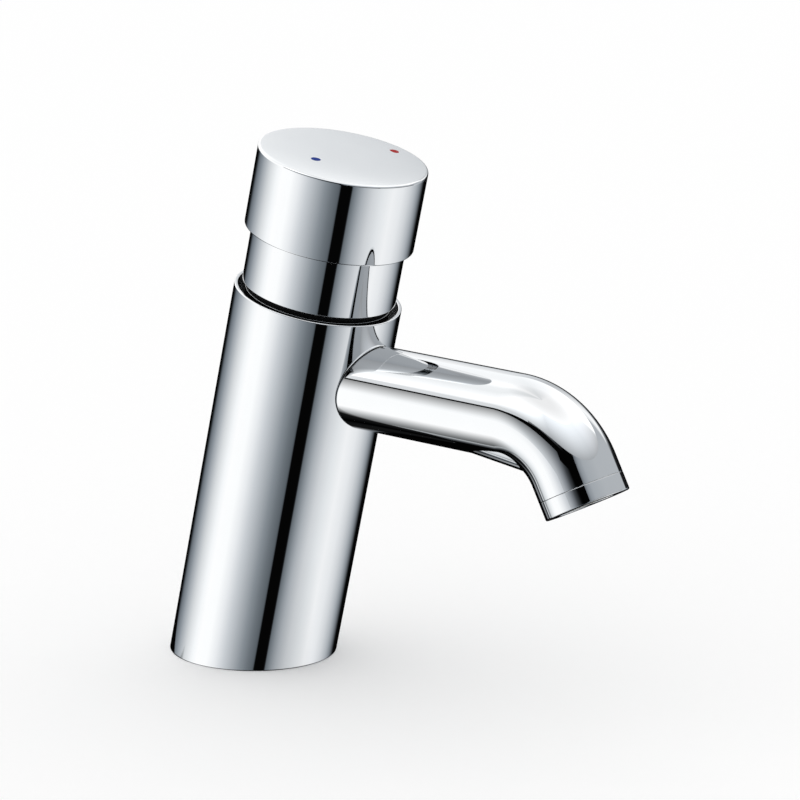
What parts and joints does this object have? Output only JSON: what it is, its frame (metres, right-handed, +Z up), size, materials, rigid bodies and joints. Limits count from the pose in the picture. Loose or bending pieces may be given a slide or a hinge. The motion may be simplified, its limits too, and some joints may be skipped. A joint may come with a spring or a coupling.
{
  "type": "basin faucet",
  "caption": "Self-closing push basin mixer: leaning chromed cylinder, slim bent spout, wide push head that turns for temperature.",
  "frame": {"origin": "centre of the body's foot on the deck, where the leaning body axis meets it", "axes": "+Z up from the deck, -Y the way the spout points, +X to the right of a person who stands at the basin and faces the tap"},
  "size_m": [0.0522, 0.1657, 0.167],
  "materials": {
    "chromed_brass": "mirror chrome plate on cast brass",
    "brass": "machined brass",
    "stainless_steel": "drawn stainless steel",
    "white_acetal": "moulded acetal, natural white",
    "black_acetal": "moulded acetal, black",
    "seal_rubber": "moulded nitrile rubber, black",
    "alumina": "lapped alumina ceramic",
    "blue_enamel": "filled enamel, blue",
    "red_enamel": "filled enamel, red"
  },
  "bodies": {
    "root": {"aerator_housing": "chromed_brass", "aerator_insert": "white_acetal", "aerator_screen": "stainless_steel", "aerator_washer": "seal_rubber", "base_gasket": "seal_rubber", "body_casting": "chromed_brass", "cartridge_base": "white_acetal", "cartridge_housing": "white_acetal", "cold_port_seal": "seal_rubber", "disc_gasket": "seal_rubber", "fixed_ceramic_disc": "alumina", "guide_sleeve": "black_acetal", "hot_port_seal": "seal_rubber", "lower_o_ring": "seal_rubber", "retaining_nut": "brass", "spout_tube": "chromed_brass", "upper_o_ring": "seal_rubber"},
    "rotor": {"turning_ceramic_disc": "alumina", "temperature_rotor": "brass", "rotor_o_ring": "seal_rubber", "rod_seal": "seal_rubber", "thrust_washer": "white_acetal", "limit_ring": "brass", "rotor_cap": "brass", "return_spring": "stainless_steel"},
    "knob": {"knob_cap": "chromed_brass", "knob_skirt": "chromed_brass", "cold_mark": "blue_enamel", "hot_mark": "red_enamel", "spline_coupler": "black_acetal", "push_rod": "stainless_steel", "piston": "black_acetal", "piston_seal": "seal_rubber", "poppet": "brass", "poppet_washer": "seal_rubber", "poppet_nut": "stainless_steel", "rod_nut": "stainless_steel", "grub_screw": "stainless_steel"}
  },
  "joints": [
    {"name": "temperature_turn", "type": "hinge", "parent": "root", "child": "rotor", "pos_m": [0, 0, 0], "axis": [0, -0.2164, 0.9763], "range_deg": [-50, 50]},
    {"name": "push_stroke", "type": "slide", "parent": "rotor", "child": "knob", "axis": [0, 0.2164, -0.9763], "range_m": [0, 0.0075], "stiffness_N_per_m": 1500, "springref_m": -0.01, "deforming": ["return_spring"]}
  ]
}
